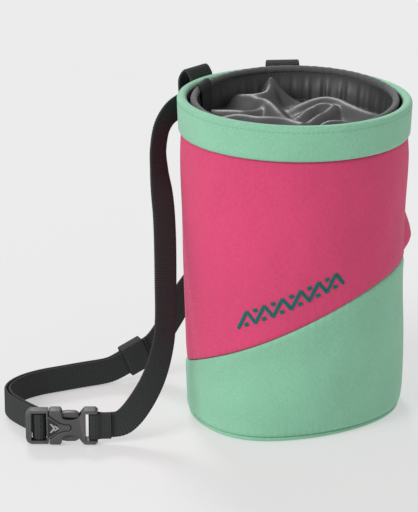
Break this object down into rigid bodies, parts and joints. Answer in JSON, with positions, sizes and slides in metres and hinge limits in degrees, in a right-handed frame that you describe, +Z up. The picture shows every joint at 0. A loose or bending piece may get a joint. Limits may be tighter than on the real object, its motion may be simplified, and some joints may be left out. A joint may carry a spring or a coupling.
{
  "type": "climbing chalk bag",
  "caption": "Round climbing chalk bag with a twist closure, a slanted two-colour shell, a brush loop and a webbing waist belt with a side release buckle.",
  "frame": {"origin": "centre of the base's flat underside", "axes": "+Z up along the bag, -Y towards the decorated front, -X towards the belt's buckle"},
  "size_m": [0.2346, 0.1437, 0.1878],
  "materials": {
    "mint_fabric": "plain woven polyester, matt",
    "raspberry_fabric": "plain woven polyester, matt",
    "fleece": "brushed fleece, matt",
    "satin": "light nylon satin, soft sheen",
    "webbing": "ribbed polyester webbing, matt",
    "buckle_plastic": "fine moulded texture",
    "foam": "closed cell foam board",
    "spring_hoop": "drawn wire"
  },
  "bodies": {
    "bag": {"base_panel": "mint_fabric", "base_stiffener": "foam", "lower_panel": "mint_fabric", "upper_panel": "raspberry_fabric", "rim_band": "mint_fabric", "rim_hoop": "spring_hoop", "lining_wall": "fleece", "lining_base": "fleece", "belt_loop_left": "webbing", "belt_loop_back": "webbing", "brush_holder": "raspberry_fabric", "closure_sleeve": "satin", "belt_back_run": "webbing", "belt_sewn_strand": "webbing", "belt_long_strand": "webbing", "belt_tail_end": "webbing", "buckle_socket": "buckle_plastic", "socket_fold": "webbing"},
    "twist_ring": {"twist_casing": "satin", "twist_hoop": "spring_hoop", "twist_pull_tab": "webbing"},
    "buckle_plug": {"plug_frame": "buckle_plastic", "belt_turn": "webbing", "belt_wrap": "webbing", "belt_tail": "webbing"},
    "upper_arm": {"plug_arm_upper": "buckle_plastic"},
    "lower_arm": {"plug_arm_lower": "buckle_plastic"},
    "keeper": {"belt_keeper": "webbing"}
  },
  "joints": [
    {"name": "twist_turn", "type": "hinge", "parent": "bag", "child": "twist_ring", "pos_m": [0.0003, -0.0002, 0.181], "axis": [0, -0.0523, 0.9986], "range_deg": [0, 180], "deforming": ["closure_sleeve"]},
    {"name": "plug_pull", "type": "slide", "parent": "bag", "child": "buckle_plug", "axis": [-1, 0, 0], "range_m": [0, 0.02]},
    {"name": "upper_arm_press", "type": "hinge", "parent": "buckle_plug", "child": "upper_arm", "pos_m": [-0.1362, -0.0628, 0.0165], "axis": [0, 1, 0], "range_deg": [0, 4.5], "stiffness_Nm_per_rad": 0.5},
    {"name": "lower_arm_press", "type": "hinge", "parent": "buckle_plug", "child": "lower_arm", "pos_m": [-0.1362, -0.0628, 0.0041], "axis": [0, -1, 0], "range_deg": [0, 4.5], "stiffness_Nm_per_rad": 0.5},
    {"name": "keeper_slide", "type": "slide", "parent": "bag", "child": "keeper", "axis": [-0.8447, -0.3648, -0.3916], "range_m": [-0.004, 0.004]}
  ]
}
